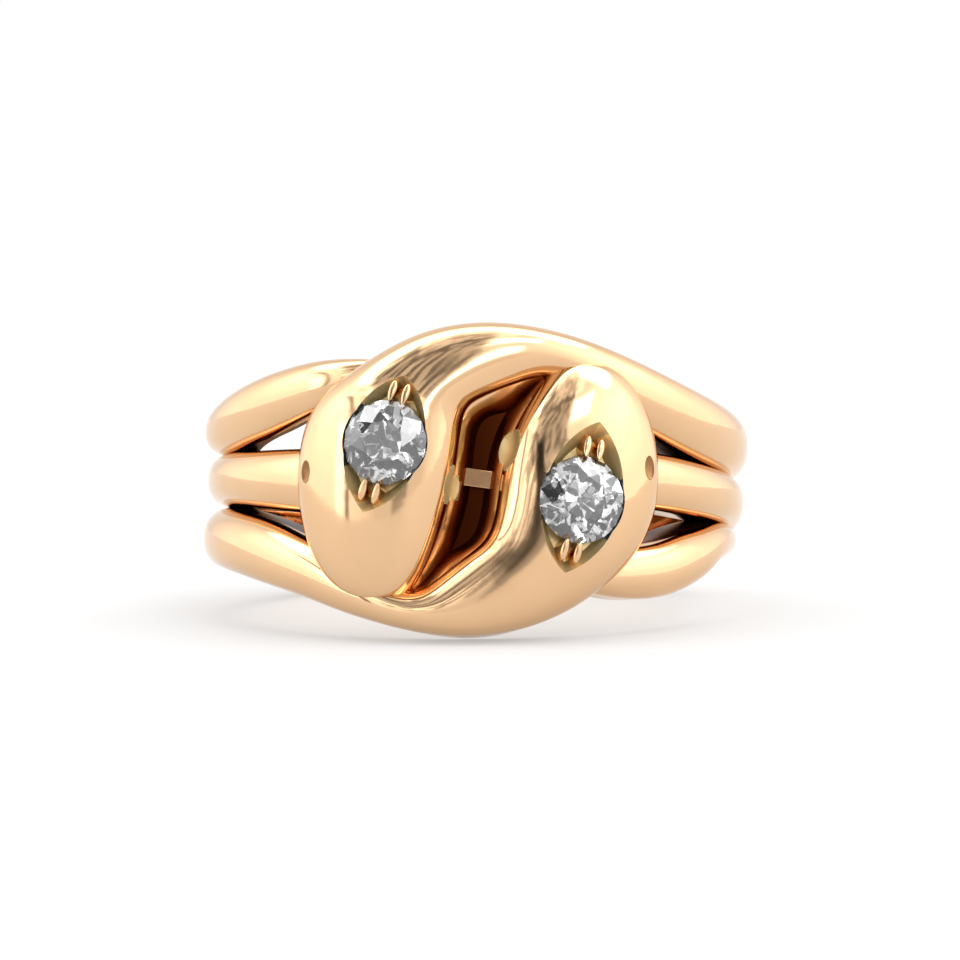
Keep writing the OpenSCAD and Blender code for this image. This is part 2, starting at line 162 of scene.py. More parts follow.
# The tails, from the tip to the root under a neck
LEFT_TAIL_ROWS = np.array([
    [262.0, 1.84, 262.0, 2.20, 0.50, 0.62, 0.00],
    [266.0, 1.70, 266.0, 2.80, 0.80, 1.40, 0.00],
    [272.0, 1.58, 272.0, 3.28, 0.95, 1.92, 0.00],
    [279.0, 1.50, 278.0, 3.50, 1.00, 2.02, 0.00],
    [289.0, 1.52, 286.0, 3.72, 1.00, 2.02, -0.20],
    [300.0, 1.73, 297.0, 4.03, 1.00, 1.98, -0.25],
    [308.0, 1.94, 305.0, 4.26, 1.00, 1.94, -0.25],
    [316.0, 2.28, 314.0, 4.48, 1.00, 1.88, -0.25],
    [323.0, 2.66, 321.0, 4.62, 1.00, 1.80, -0.20],
    [330.0, 3.10, 328.0, 4.66, 1.00, 1.66, -0.10],
    [337.0, 3.60, 335.0, 4.60, 1.00, 1.45, 0.00],
])
RIGHT_TAIL_ROWS = np.array([
    [250.0, 1.60, 250.0, 1.84, 0.50, 0.62, 0.00],
    [256.0, 1.40, 256.0, 2.08, 0.72, 1.10, 0.00],
    [264.0, 1.22, 264.0, 2.24, 0.84, 1.40, 0.00],
    [272.0, 1.14, 272.0, 2.34, 0.90, 1.50, 0.00],
    [282.0, 1.12, 282.0, 2.50, 0.92, 1.52, 0.05],
    [291.0, 1.30, 291.0, 2.86, 0.96, 1.62, 0.15],
    [300.0, 1.62, 299.0, 3.48, 1.00, 1.74, 0.25],
    [308.0, 1.88, 307.0, 4.00, 1.00, 1.82, 0.25],
    [316.0, 2.26, 314.0, 4.32, 1.00, 1.84, 0.25],
    [323.0, 2.46, 321.0, 4.46, 1.00, 1.78, 0.25],
    [331.0, 2.70, 329.0, 4.42, 1.00, 1.64, 0.20],
    [338.0, 3.10, 336.0, 4.20, 1.00, 1.45, 0.00],
])

# The plate that closes the gap behind the heads
PLATE_ROWS = np.array([
    [346.6, -3.72, 346.6, 3.64, 0.50, 0.56, 0.00],
    [360.0, -3.69, 360.0, 3.71, 0.50, 0.56, 0.00],
    [373.4, -3.66, 373.4, 3.78, 0.50, 0.56, 0.00],
])

# Where each diamond sits: angle, height along the finger, how far its middle lies outside the
# finger hole, the way it faces, and the lean of its pocket
LEFT_SEAT = (-17.2, 1.24, 2.82, -11.0, 17.0)
RIGHT_SEAT = (19.9, -0.90, 2.82, 16.0, 13.0)

# The eyes cut at the sides of a head, as balls: angle, height, distance outside the hole, radius,
# and how tall for their width
LEFT_EYES = ((-34.3, 0.25, 2.94, 0.36, 1.4), (-1.2, -0.72, 2.05, 1.0, 1.5))
RIGHT_EYES = ((-34.7, -0.40, 2.94, 0.36, 1.4), (-3.4, -1.38, 2.04, 1.0, 1.3))

# A snake ends inside its own head, so its last rows are made as a piece of their own
BODY_ROWS = 10

# A pocket at its top against its stated length and its stone's diameter, its height in
# millimetres, and its floor's share of the length and width at its top
POCKET_LONG, POCKET_WIDE, POCKET_HEIGHT, POCKET_FLOOR = 1.12, 1.22, 1.6, 0.62

# The camera: its sensor in millimetres, the picture's side and the focal length in pixels, its
# distance from the ring in millimetres and how many degrees it looks up, and where in the picture
# the ring's middle is
SENSOR, PICTURE, FOCAL, AWAY, LOOKS_UP = 36.0, 960.0, 5050.0, 200.0, 4.4
MIDDLE_X, MIDDLE_Y = 476.5, 497.0


# Shapes


def blended_rows(rows, per_row, soften):
    """The rows of a table with more of them between, on a smooth curve.

    Between rows b and c, with a before and d after them, the curve is b + (c - a) t / 2 +
    (a - 2.5 b + 2 c - d / 2) t^2 + (-a / 2 + 1.5 b - 1.5 c + d / 2) t^3. Each column is then
    averaged over its neighbours with bell-shaped weights, soften rows wide, its two ends held.
    """
    last = len(rows) - 1
    s = np.linspace(0.0, last, last * per_row + 1)
    i = np.minimum(s.astype(int), last - 1)
    t = (s - i)[:, None]
    a, b = rows[np.maximum(i - 1, 0)], rows[i]
    c, d = rows[i + 1], rows[np.minimum(i + 2, last)]
    dense = (b + (c - a) * t / 2 + (a - 2.5 * b + 2 * c - d / 2) * t ** 2
             + (-a / 2 + 1.5 * b - 1.5 * c + d / 2) * t ** 3)
    if soften <= 0:
        return dense
    reach = int(per_row * soften * 3)
    x = np.arange(-reach, reach + 1) / (per_row * soften)
    weights = np.exp(-x ** 2 / 2)
    weights /= weights.sum()
    before = 2 * dense[0] - dense[reach:0:-1]
    after = 2 * dense[-1] - dense[-2:-reach - 2:-1]
    padded = np.concatenate([before, dense, after])
    return np.stack([np.convolve(column, weights, "valid") for column in padded.T], axis=1)


def dome(t):
    """How far the wall has risen from its side to its crest: sqrt(1 - |2t - 1|^2.3)."""
    return np.sqrt(np.maximum(0.0, 1.0 - np.abs(2 * t - 1) ** 2.3))


def ring_points(angle, z, r):
    """Points at angles round the finger, heights along it and distances from its axis."""
    a = np.radians(angle)
    return np.stack([r * np.sin(a), -r * np.cos(a), z], axis=-1)


def strip_sections(rows, across, under=0.5, fillet=0.07):
    """Closed sections of a domed strip, as points and how much painted shade each has, 0 to 1.

    Across a section u goes from 0 at the inner side to 1 at the outer side, and h is the height
    above the finger. The outside has u = t and h = edge + (crest - edge) dome(t). The sides go
    down from there to a small round at the finger, and inside h is 0. As rise goes from 0 at the
    round to 1 at the edge, the inner side spreads by 1.7 foot edge / (edge + under)
    (1 - rise)^0.75. The painted shade darkens the sides where shade falls in the crevices, and is
    0 outside and at the finger. On the outer side it is 0.6 at a head and 0 elsewhere, with up to
    0.3 more on its way down. On the inner side it is 0.2 + 0.75 (1 - rise)^0.7, with up to 0.6
    rise more where the side hardly spreads.
    """
    edge, crest, spread = (rows[:, column, None] for column in (EDGE_T, CREST_T, FOOT))
    span = np.radians(rows[:, OUTER_ANGLE] - rows[:, INNER_ANGLE]) * FINGER_R
    width = np.hypot(span, rows[:, OUTER_Z] - rows[:, INNER_Z])[:, None]
    foot = 1.7 * spread / width * edge / (edge + under)
    corner = np.minimum(fillet / width, 0.3)
    # 1 at a head and 0 on a body, and 0.6 where the inner side hardly spreads, for the painted shade
    # of the sides
    head = np.clip((crest - 2.05) / 0.6, 0, 1)
    narrow = 0.6 * (1 - np.clip(spread / 0.5, 0, 1))

    t = (1 - np.cos(np.pi * np.arange(across + 1) / across)) / 2
    down = np.linspace(1, 0, 9)[1:]
    off = np.radians(np.linspace(0, 90, 5)[1:])
    back = np.linspace(0, 1, 15)[1:]
    on = np.radians(np.linspace(90, 0, 5)[1:])
    rise = np.linspace(0, 1, 9)[1:-1]
    # u, h and the painted shade of the outside, the outer side, its round, the inside, the other round
    # and the inner side
    runs = (
        (t, edge + (crest - edge) * dome(t), 0 * t),
        (0 * down + 1, fillet + (edge - fillet) * down, 0.6 * head + 0.3 * (1 - down)),
        (1 - corner * (1 - np.cos(off)), fillet * (1 - np.sin(off)), np.linspace(0.3, 0, 5)[1:]),
        ((1 - corner) + (-foot + corner - (1 - corner)) * back, 0 * back, 0 * back),
        (-foot + corner * (1 - np.cos(on)), fillet * (1 - np.sin(on)), np.linspace(0, 0.95, 5)[1:]),
        (-foot * (1 - rise) ** 0.75, fillet + (edge - fillet) * rise,
         0.2 + 0.75 * (1 - rise) ** 0.7 + narrow * rise))
    one = np.ones_like(edge)
    u, h, painted_shade = (np.concatenate([one * run for run in kind], axis=1) for kind in zip(*runs))

    lower, upper = rows[:, :2], rows[:, 2:4]
    angle = lower[:, :1] + (upper[:, :1] - lower[:, :1]) * u
    z = lower[:, 1:] + (upper[:, 1:] - lower[:, 1:]) * u
    return ring_points(angle, z, FINGER_R + h), painted_shade


def loft_faces(sections, around):
    """Four-sided faces between the closed sections of a loft, and a face over each of its ends."""
    i, k = np.meshgrid(np.arange(sections - 1), np.arange(around), indexing="ij")
    a = (i * around + k).ravel()
    b = (i * around + (k + 1) % around).ravel()
    quads = np.stack([a, b, b + around, a + around], axis=1)
    first = list(range(around - 1, -1, -1))
    last = list(range((sections - 1) * around, sections * around))
    return quads.tolist() + [first, last]


def half_turn(points):
    """The points turned half round about the front of the ring: x and z change sign."""
    return points * np.array([-1.0, 1.0, -1.0])


def shade_smooth(mesh):
    """Shades a mesh smooth, but for the edges where its faces turn by more than 30 degrees."""
    mesh.polygons.foreach_set("use_smooth", np.ones(len(mesh.polygons), bool))
    mesh.set_sharp_from_angle(angle=math.radians(30))


def make_piece(name, points, faces, painted_shade=None):
    """An object made of points in millimetres and faces, which are turned to look outwards.

    The painted shade of each point, which darkens it by how deep it lies in a recess, is kept at the
    corners of its faces, where a cut keeps it.
    """
    mesh = bpy.data.meshes.new(name)
    mesh.from_pydata((points * MM).tolist(), [], faces)
    mesh.update()
    mesh.calc_loop_triangles()
    corners = np.empty(len(mesh.loop_triangles) * 3, np.int32)
    mesh.loop_triangles.foreach_get("vertices", corners)
    a, b, c = np.moveaxis(points[corners.reshape(-1, 3)], 1, 0)
    if np.einsum("ij,ij->i", a, np.cross(b, c)).sum() < 0:
        mesh.flip_normals()
    # The attribute holds the painted shade of each corner, 0 to 1, which darkens the gold
    layer = mesh.attributes.new("painted_shade", "FLOAT", "CORNER")
    if painted_shade is not None:
        corners = np.empty(len(mesh.loops), np.int32)
        mesh.loops.foreach_get("vertex_index", corners)
        layer.data.foreach_set("value", painted_shade[corners].astype(np.float32))
    shade_smooth(mesh)
    obj = bpy.data.objects.new(name, mesh)
    bpy.context.scene.collection.objects.link(obj)
    return obj


def strip_shape(rows, per_row, across, soften=0.45, part=(0, None)):
    """The points, faces and painted shade of a domed strip through a table's rows, or a part of them.
    """
    first, last = part[0] * per_row, None if part[1] is None else part[1] * per_row + 1
    points, painted_shade = strip_sections(blended_rows(rows, per_row, soften)[first:last], across)
    return points.reshape(-1, 3), loft_faces(*points.shape[:2]), painted_shade.ravel()


def snake_strip(name, rows, per_row, across, turned, **shape):
    """A strip of a snake, turned half round where it is the right snake's."""
    points, faces, painted_shade = strip_shape(rows, per_row, across, **shape)
    return make_piece(name, half_turn(points) if turned else points, faces, painted_shade)


def seat_matrix(seat):
    """Where a seat's own X, Y and Z lie in the ring: Z is the way the stone faces."""
    angle, z, out, facing, lean = seat
    place = Vector(ring_points(angle, z, FINGER_R + out).tolist())
    return (Matrix.Translation(place) @ Matrix.Rotation(math.radians(facing), 4, "Z")
            @ Matrix.Rotation(math.radians(90), 4, "X")
            @ Matrix.Rotation(math.radians(-lean), 4, "Z"))


def placed(points, place):
    """Points carried over by the matrix of a place."""
    m = np.array(place)
    return points @ m[:3, :3].T + m[:3, 3]


def stacked_loops(loops):
    """Closed loops of as many points each, one above the other, with a face over both ends."""
    return np.concatenate(loops), loft_faces(len(loops), len(loops[0]))


def pocket_size(length, stone_d, share):
    """The length and width of a pocket where it has a share of its size at the top."""
    return length * POCKET_LONG * share, stone_d * POCKET_WIDE * share


def arc_radius(length, width):
    """The radius of the two arcs of an eye: (length^2 + width^2) / (4 width)."""
    return (length ** 2 + width ** 2) / (4 * width)


def eye_loop(length, width, z, points=48):
    """An eye in a plane: two arcs through the tips (0, +-length / 2), as wide as width in the middle.

    The middle of an arc stands at its radius - width / 2 on the far side of the eye.
    """
    r = arc_radius(length, width)
    reach = math.asin(length / 2 / r)
    a = np.linspace(-reach, reach, points + 1)[:-1]
    right = np.stack([r * np.cos(a) - (r - width / 2), r * np.sin(a)], axis=1)
    flat = np.concatenate([right, -right])
    return np.concatenate([flat, np.full((len(flat), 1), z)], axis=1)


def round_loop(radius, z, count=64):
    """A circle in a plane: radius (cos a, sin a), at the height z."""
    a = 2 * np.pi * np.arange(count) / count
    return np.stack([radius * np.cos(a), radius * np.sin(a), np.full(count, z)], axis=1)


def pocket_cutter(stone_d, length, depth, seat):
    """The eye-shaped pocket, which widens evenly from its floor to its top."""
    loops = [eye_loop(*pocket_size(length, stone_d, share), z)
             for share, z in ((POCKET_FLOOR, -depth), (1.0, POCKET_HEIGHT - depth))]
    points, faces = stacked_loops(loops)
    return make_piece("pocket", placed(points, seat_matrix(seat)), faces)


def seat_cutter(stone_d, gap, pavilion_share, seat):
    """The round hole that a stone sits in, with a cone under it."""
    r = stone_d / 2 + gap
    tip_r, tip_room, top = 0.3, 0.15, 1.6
    deep = stone_d * pavilion_share + tip_room
    points, faces = stacked_loops([round_loop(tip_r, -deep), round_loop(r, 0.0), round_loop(r, top)])
    return make_piece("seat", placed(points, seat_matrix(seat)), faces)


def eye_middle(eye, turned):
    """The middle of an eye of a snake, turned half round where it is the right snake's."""
    angle, z, out = eye[:3]
    middle = ring_points(angle, z, FINGER_R + out)
    return half_turn(middle) if turned else middle


def eye_cutter(eye, turned, around=40, rings=20):
    """The ball that drills an eye: radius (cos p cos q, cos p sin q, tall sin p).

    The small eyes get more painted shade inside, for the shade in a drilled hole.
    """
    radius, tall = eye[3:]
    p = np.linspace(-np.pi / 2, np.pi / 2, rings + 1)[1:-1, None]
    q = 2 * np.pi * np.arange(around) / around
    points = np.stack([radius * np.cos(p) * np.cos(q), radius * np.cos(p) * np.sin(q),
                       radius * np.sin(p) * tall + 0 * q], axis=-1)
    points = points.reshape(-1, 3) + eye_middle(eye, turned)
    # Painted shade inside the eye, more in the small ones
    painted_shade = 0.45 if radius < 0.6 else 0.1
    return make_piece("eye", points, loft_faces(rings - 1, around), np.full(len(points), painted_shade))


def cut(obj, cutters):
    """Takes the cutters out of a piece and keeps the smooth shading of what is left."""
    for cutter in cutters:
        m = obj.modifiers.new("cut", "BOOLEAN")
        m.operation = "DIFFERENCE"
        m.solver = "EXACT"
        m.object = cutter
    deps = bpy.context.evaluated_depsgraph_get()
    mesh = bpy.data.meshes.new_from_object(obj.evaluated_get(deps))
    obj.modifiers.clear()
    old, obj.data = obj.data, mesh
    mesh.name = old.name
    bpy.data.meshes.remove(old)
    for cutter in cutters:
        data = cutter.data
        bpy.data.objects.remove(cutter)
        bpy.data.meshes.remove(data)
    shade_smooth(mesh)


# Place and finish


def rest_matrix():
    """How the ring's own place lies on the floor, from the finger hole in the record.

    The hole's axis is (sin roll, cos roll sin pitch, cos roll cos pitch), and the middle of the
    ring lies 0.2 mm down the axis from the mount.
    """
    roll = math.asin(FINGER_AXIS.x)
    pitch = math.atan2(FINGER_AXIS.y, FINGER_AXIS.z)
    middle = Vector(MOUNT["pos_m"]) - FINGER_AXIS * 0.2 * MM
    return (Matrix.Translation(middle) @ Matrix.Rotation(-pitch, 4, "X")
            @ Matrix.Rotation(roll, 4, "Y"))


def finish_gold(obj):
    """Lays a gold piece down with the ring and lets it stand for the gold of the part."""
    obj.data.transform(rest_matrix())
    if not len(obj.data.materials):
        obj.data.materials.append(gold_material())
    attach(obj, "root")
    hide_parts(BAND_NODE)


def linear(hex_colour):
    """A colour written in hex as linear values: ((c + 0.055) / 1.055)^2.4, or c / 12.92 when dark."""
    c = np.array([int(hex_colour[i:i + 2], 16) / 255 for i in (0, 2, 4)])
    return np.where(c > 0.04045, ((c + 0.055) / 1.055) ** 2.4, c / 12.92).tolist()


def set_inputs(tree, node, inputs):
    """Joins each input of a node to the socket given for it, or gives it the plain value."""
    for key, value in inputs.items():
        if isinstance(value, bpy.types.NodeSocket):
            tree.links.new(value, node.inputs[key])
        else:
            node.inputs[key].default_value = value
    return node


def add_node(tree, kind, inputs, **settings):
    """A new node of a tree with its settings and its inputs."""
    node = tree.nodes.new(kind)
    for name, value in settings.items():
        setattr(node, name, value)
    return set_inputs(tree, node, inputs)


def ranged(tree, value, low, high, to_low, to_high):
    """A value carried from the range low to high over to another range, and held at its ends."""
    return add_node(tree, "ShaderNodeMapRange", {
        "Value": value, "From Min": low, "From Max": high,
        "To Min": to_low, "To Max": to_high}).outputs["Result"]


def math_of(tree, operation, *values):
    """The values joined one after the other by an operation."""
    total = values[0]
    for value in values[1:]:
        total = add_node(tree, "ShaderNodeMath", {0: total, 1: value},
                         operation=operation).outputs["Value"]
    return total


def cell_texture(tree, coords, scale):
    """Cells that each have a number by chance, as that number and the distance from their middles."""
    cells = add_node(tree, "ShaderNodeTexVoronoi", {"Vector": coords, "Scale": scale})
    chance = add_node(tree, "ShaderNodeSeparateColor", {"Color": cells.outputs["Color"]})
    return chance.outputs["Red"], cells.outputs["Distance"]


def grey(tree, value):
    """A grey colour as light as a value."""
    return add_node(tree, "ShaderNodeCombineColor",
                    {"Red": value, "Green": value, "Blue": value}).outputs["Color"]


def new_material(name):
    """A material with its node tree and its shader."""
    material = bpy.data.materials.new(name)
    material.use_nodes = True
    return material, material.node_tree, material.node_tree.nodes["Principled BSDF"]


def worn_and_shaded_gold_group():
    """The worn surface, with its painted shade, that every gold finish shares, as a node group.

    The colour goes from the gold to a painted shade colour and then to a near-black painted shade
    as a recess gets deeper, with soft clouds of a deeper tone over it. Scattered pits darken it with
    the grime colour and sink the surface.
    """
    name = "worn and shaded gold"
    if name in bpy.data.node_groups:
        return bpy.data.node_groups[name]
    tree = bpy.data.node_groups.new(name, "ShaderNodeTree")
    face = tree.interface
    for label, kind, value in (
            ("Gold", "NodeSocketColor", (0.9, 0.6, 0.4, 1.0)),
            ("Painted Shade Gold", "NodeSocketColor", (0.3, 0.1, 0.02, 1.0)),
            ("Grime and Shade", "NodeSocketColor", (0.02, 0.004, 0.0, 1.0)),
            ("Painted Shade", "NodeSocketFloat", 0.0),
            ("Roughness", "NodeSocketFloat", 0.2),
            ("Pits", "NodeSocketFloat", 1.0)):
        face.new_socket(label, in_out="INPUT", socket_type=kind).default_value = value
    for label, kind in (("Color", "NodeSocketColor"), ("Roughness", "NodeSocketFloat"),
                        ("Height", "NodeSocketFloat")):
        face.new_socket(label, in_out="OUTPUT", socket_type=kind)
    given = tree.nodes.new("NodeGroupInput").outputs
    coords = tree.nodes.new("ShaderNodeTexCoord").outputs["Object"]

    def noise(scale, detail):
        return add_node(tree, "ShaderNodeTexNoise",
                        {"Vector": coords, "Scale": scale, "Detail": detail}).outputs["Fac"]

    def mixed(factor, one, other):
        return add_node(tree, "ShaderNodeMix", {"Factor": factor, "A": one, "B": other},
                        data_type="RGBA").outputs["Result"]

    clouds = noise(scale=260.0, detail=3.0)
    fine = noise(scale=2600.0, detail=2.0)
    chance, distance = cell_texture(tree, coords, 620.0)
    some = ranged(tree, chance, 0.90, 0.92, 0.0, 1.0)
    near = ranged(tree, distance, 0.08, 0.14, 1.0, 0.0)
    pits = math_of(tree, "MULTIPLY", some, near, given["Pits"])

    # Painted shade: the gold darkens to the shade gold and then to near black as this value grows
    painted_shade = math_of(tree, "ADD", given["Painted Shade"], ranged(tree, fine, 0.0, 1.0, -0.06, 0.06))
    clouded = mixed(ranged(tree, clouds, 0.35, 0.75, 0.0, 0.10), given["Gold"], given["Painted Shade Gold"])
    shade_brown = mixed(ranged(tree, painted_shade, 0.05, 0.55, 0.0, 1.0), clouded, given["Painted Shade Gold"])
    deep = mixed(ranged(tree, painted_shade, 0.55, 0.95, 0.0, 1.0), shade_brown, given["Grime and Shade"])
    colour = mixed(math_of(tree, "MULTIPLY", pits, 0.85), deep, given["Grime and Shade"])
    roughness = math_of(tree, "ADD", given["Roughness"], ranged(tree, clouds, 0.3, 0.7, -0.04, 0.05),
                        math_of(tree, "MULTIPLY", given["Painted Shade"], 0.25))
    uneven = math_of(tree, "ADD", math_of(tree, "MULTIPLY", clouds, 3.0),
                     math_of(tree, "MULTIPLY", noise(scale=1100.0, detail=2.0), 0.5),
                     math_of(tree, "MULTIPLY", fine, 0.15))
    add_node(tree, "NodeGroupOutput", {
        "Color": colour, "Roughness": roughness,
        "Height": math_of(tree, "SUBTRACT", uneven, pits)})
    return tree


def gold_material(name="rose gold", gold=None, painted_shade=None, roughness=None, pits=1.0, bump_mm=0.013,
                  metallic=1.0):
    """A gold finish: the worn and shaded gold group, with its wear and painted shade, in this finish's
    own colours and gloss.
    """
    if name in bpy.data.materials:
        return bpy.data.materials[name]
    finish = bpy.context.scene.snake_ring_finish
    material, tree, shader = new_material(name)
    # The attribute read here carries the painted shade of each corner
    layer = add_node(tree, "ShaderNodeAttribute", {}, attribute_name="painted_shade")
    worn = add_node(tree, "ShaderNodeGroup", {
        "Gold": (*(gold or finish.gold_colour), 1.0),
        "Painted Shade Gold": (*(painted_shade or finish.painted_shade_colour), 1.0),
        "Grime and Shade": (*finish.grime_and_shade_colour, 1.0),
        "Painted Shade": layer.outputs["Fac"],
        "Roughness": roughness or finish.gold_roughness,
        "Pits": pits}, node_tree=worn_and_shaded_gold_group())
    bump = add_node(tree, "ShaderNodeBump", {
        "Strength": 0.5, "Distance": bump_mm * MM, "Height": worn.outputs["Height"]})
    set_inputs(tree, shader, {
        "Base Color": worn.outputs["Color"], "Metallic": metallic,
        "Roughness": worn.outputs["Roughness"], "Normal": bump.outputs["Normal"]})
    return material


def pocket_material():
    """The yellower, duller gold of a cut pocket."""
    finish = bpy.context.scene.snake_ring_finish
    return gold_material("cut pocket gold", finish.pocket_colour, roughness=0.3, pits=0.0,
                         bump_mm=0.04, metallic=0.6)


def seat_material():
    """The grey lining of the hole that a stone sits in."""
    finish = bpy.context.scene.snake_ring_finish
    return gold_material("stone seat lining", finish.seat_colour, finish.seat_colour, 0.35, pits=0.0)


def diamond_material():
    """Clear diamond, with painted flecks of a lighter and a darker grey that stand for the reflections
    of its many small facets.
    """
    material, tree, shader = new_material("diamond")
    coords = tree.nodes.new("ShaderNodeTexCoord").outputs["Object"]
    # Painted reflections: chance cells fleck the base colour light and dark grey
    chance = cell_texture(tree, coords, 3000.0)[0]
    set_inputs(tree, shader, {
        "Base Color": grey(tree, ranged(tree, chance, 0.34, 0.60, 0.002, 0.80)),
        "Roughness": 0.0, "IOR": 2.417, "Transmission Weight": 1.0})
    return material


def face_middles(obj):
    """The middles of a piece's faces in millimetres."""
    middles = np.empty(len(obj.data.polygons) * 3, np.float32)
    obj.data.polygons.foreach_get("center", middles)
    return middles.reshape(-1, 3) / MM


def finish_cuts(obj, seat, stone_d, gap, pavilion_share, length, depth, eyes, turned):
    """Gives the cut faces of a head their own finishes: 1 for the pocket and eyes, 2 for the seat.

    A face is in the seat where it is no further from the seat's axis than the stone's edge and its
    gap, from the tip of the cone to a little above the stone's middle, but for the pocket's floor.
    Else it is in the pocket where it is inside the pocket's outline at its own height, and in an
    eye where it is as far from the eye's middle as the eye's radius.
    """
    near, tip_room, seat_top, pocket_top = 0.01, 0.2, 0.6, 1.2
    middles = face_middles(obj)
    x, y, z = placed(middles, np.linalg.inv(seat_matrix(seat))).T
    share = POCKET_FLOOR + (1 - POCKET_FLOOR) * (z + depth) / POCKET_HEIGHT
    pocket_l, pocket_w = pocket_size(length, stone_d, share)
    arc = arc_radius(pocket_l, pocket_w)
    pocket = np.hypot(np.abs(x) + arc - pocket_w / 2, y) < arc + near
    pocket &= (z > -depth - near) & (z < pocket_top)
    seat_hole = np.hypot(x, y) < stone_d / 2 + gap + near / 2
    seat_hole &= (z > -stone_d * pavilion_share - tip_room) & (z < seat_top)
    seat_hole &= np.abs(z + depth) > near
    for eye in eyes:
        radius, tall = eye[3:]
        away = (middles - eye_middle(eye, turned)) / np.array([1.0, 1.0, tall])
        pocket |= np.abs(np.linalg.norm(away, axis=1) - radius) < 2 * near
    for material in (gold_material(), pocket_material(), seat_material()):
        obj.data.materials.append(material)
    kinds = np.where(seat_hole, 2, np.where(pocket, 1, 0)).astype(np.int32)
    obj.data.polygons.foreach_set("material_index", kinds)


class RingSizes(bpy.types.PropertyGroup):
    """Sizes of the ring's gold"""
    head_steps: IntProperty(
        name="Steps", description="Sections between two rows of a table", default=12, min=2, max=24)
    across_steps: IntProperty(
        name="Across", description="Faces across the outside of a strip", default=48, min=8, max=96)
    left_pocket_l: FloatProperty(
        name="Left Pocket", description="Length of the left eye-shaped pocket, in mm", default=6.2)
    right_pocket_l: FloatProperty(
        name="Right Pocket", description="Length of the right eye-shaped pocket, in mm", default=6.8)
    pocket_depth: FloatProperty(
        name="Pocket Depth", description="Depth of the pockets below the middle of the stone, in mm",
        default=0.55)


class RingFinish(bpy.types.PropertyGroup):
    """Colours and gloss of the ring"""
    gold_colour: FloatVectorProperty(
        name="Gold", description="Colour of the rose gold", subtype="COLOR",
        default=linear("E7BF94"), min=0.0, max=1.0)
    # Painted shade: the darker gold that stands for the shade down in the crevices
    painted_shade_colour: FloatVectorProperty(
        name="Painted Shade", description="Colour of the gold down in the crevices", subtype="COLOR",
        default=linear("8A5020"), min=0.0, max=1.0)
    # Painted shade deep in the crevices, near black, and also the colour of the scattered pits
    grime_and_shade_colour: FloatVectorProperty(
        name="Grime and Shade", description="Colour of the old grime deep in the crevices", subtype="COLOR",
        default=linear("3A1606"), min=0.0, max=1.0)
    pocket_colour: FloatVectorProperty(
        name="Pocket", description="Colour of the cut pockets round the stones", subtype="COLOR",
        default=linear("DCC58E"), min=0.0, max=1.0)
    seat_colour: FloatVectorProperty(
        name="Seat", description="Colour of the lining under the stones", subtype="COLOR",
        default=linear("8C8C90"), min=0.0, max=1.0)
    gold_roughness: FloatProperty(
        name="Gold Roughness", description="Roughness of the worn polish", default=0.09,
        min=0.0, max=1.0)


class RingStones(bpy.types.PropertyGroup):
    """Sizes of the diamonds"""
    left_d: FloatProperty(
        name="Left", description="Diameter of the left diamond, in mm", default=3.2)
    right_d: FloatProperty(
        name="Right", description="Diameter of the right diamond, in mm", default=3.3)
    gap: FloatProperty(
        name="Gap", description="Gap between a diamond and its gold, in mm", default=0.03)
    pavilion_share: FloatProperty(
        name="Pavilion", description="Pavilion as a share of the diameter", default=0.43)


class StudioSettings(bpy.types.PropertyGroup):
    """The light round the ring"""
    surround: FloatProperty(
        name="Surround", description="Strength of the white light all round", default=1.0)
    top_power: FloatProperty(
        name="Top Light", description="Power of the soft light above the ring, in watts", default=1.0)


class SNAKERING_OT_snakes(bpy.types.Operator):
    """Build both snakes with their pockets, seats and drilled eyes"""
    bl_idname = "snakering.snakes"
    bl_label = "Snakes"

    def execute(self, context):
        sizes, stones = context.scene.snake_ring_sizes, context.scene.snake_ring_stones
        steps, depth = (sizes.head_steps, sizes.across_steps), sizes.pocket_depth
        for side, rows, seat, eyes, stone_d, length in (
                ("left", LEFT_SNAKE_ROWS, LEFT_SEAT, LEFT_EYES,
                 stones.left_d, sizes.left_pocket_l),
                ("right", RIGHT_SNAKE_ROWS, RIGHT_SEAT, RIGHT_EYES,
                 stones.right_d, sizes.right_pocket_l)):
            turned = side == "right"
            back = len(rows) - BODY_ROWS
            snake = snake_strip(f"{side}_snake", rows, *steps, turned, part=(0, back))
            body = snake_strip(f"{side}_body", rows, *steps, turned, part=(back, None))
            cut(snake, [
                pocket_cutter(stone_d, length, depth, seat),
                seat_cutter(stone_d, stones.gap, stones.pavilion_share, seat),
                *(eye_cutter(eye, turned) for eye in eyes)])
            snake.data.materials.clear()
            finish_cuts(snake, seat, stone_d, stones.gap, stones.pavilion_share, length, depth,
                        eyes, turned)
            finish_gold(snake)
            finish_gold(body)
        return {"FINISHED"}


class SNAKERING_OT_tails(bpy.types.Operator):
    """Build the tails of both snakes"""
    bl_idname = "snakering.tails"
    bl_label = "Tails"

    def execute(self, context):
        steps, across, soften = context.scene.snake_ring_sizes.head_steps, 32, 0.3
        for name, rows, turned in (("left_tail", LEFT_TAIL_ROWS, False),
                                   ("right_tail", RIGHT_TAIL_ROWS, True)):
            finish_gold(snake_strip(name, rows, steps, across, turned, soften=soften))
        return {"FINISHED"}


class SNAKERING_OT_plate(bpy.types.Operator):
    """Build the plate that closes the gap behind the heads"""
    bl_idname = "snakering.plate"
    bl_label = "Plate"

    def execute(self, context):
        points, faces, painted_shade = strip_shape(PLATE_ROWS, per_row=12, across=24, soften=0)
        # Its outside gets the darkest painted shade, for the shade on the floor of the gap
        outside = np.hypot(points[:, 0], points[:, 1]) > FINGER_R + 0.3
        finish_gold(make_piece("gap_plate", points, faces, np.where(outside, 1.0, painted_shade)))
        return {"FINISHED"}


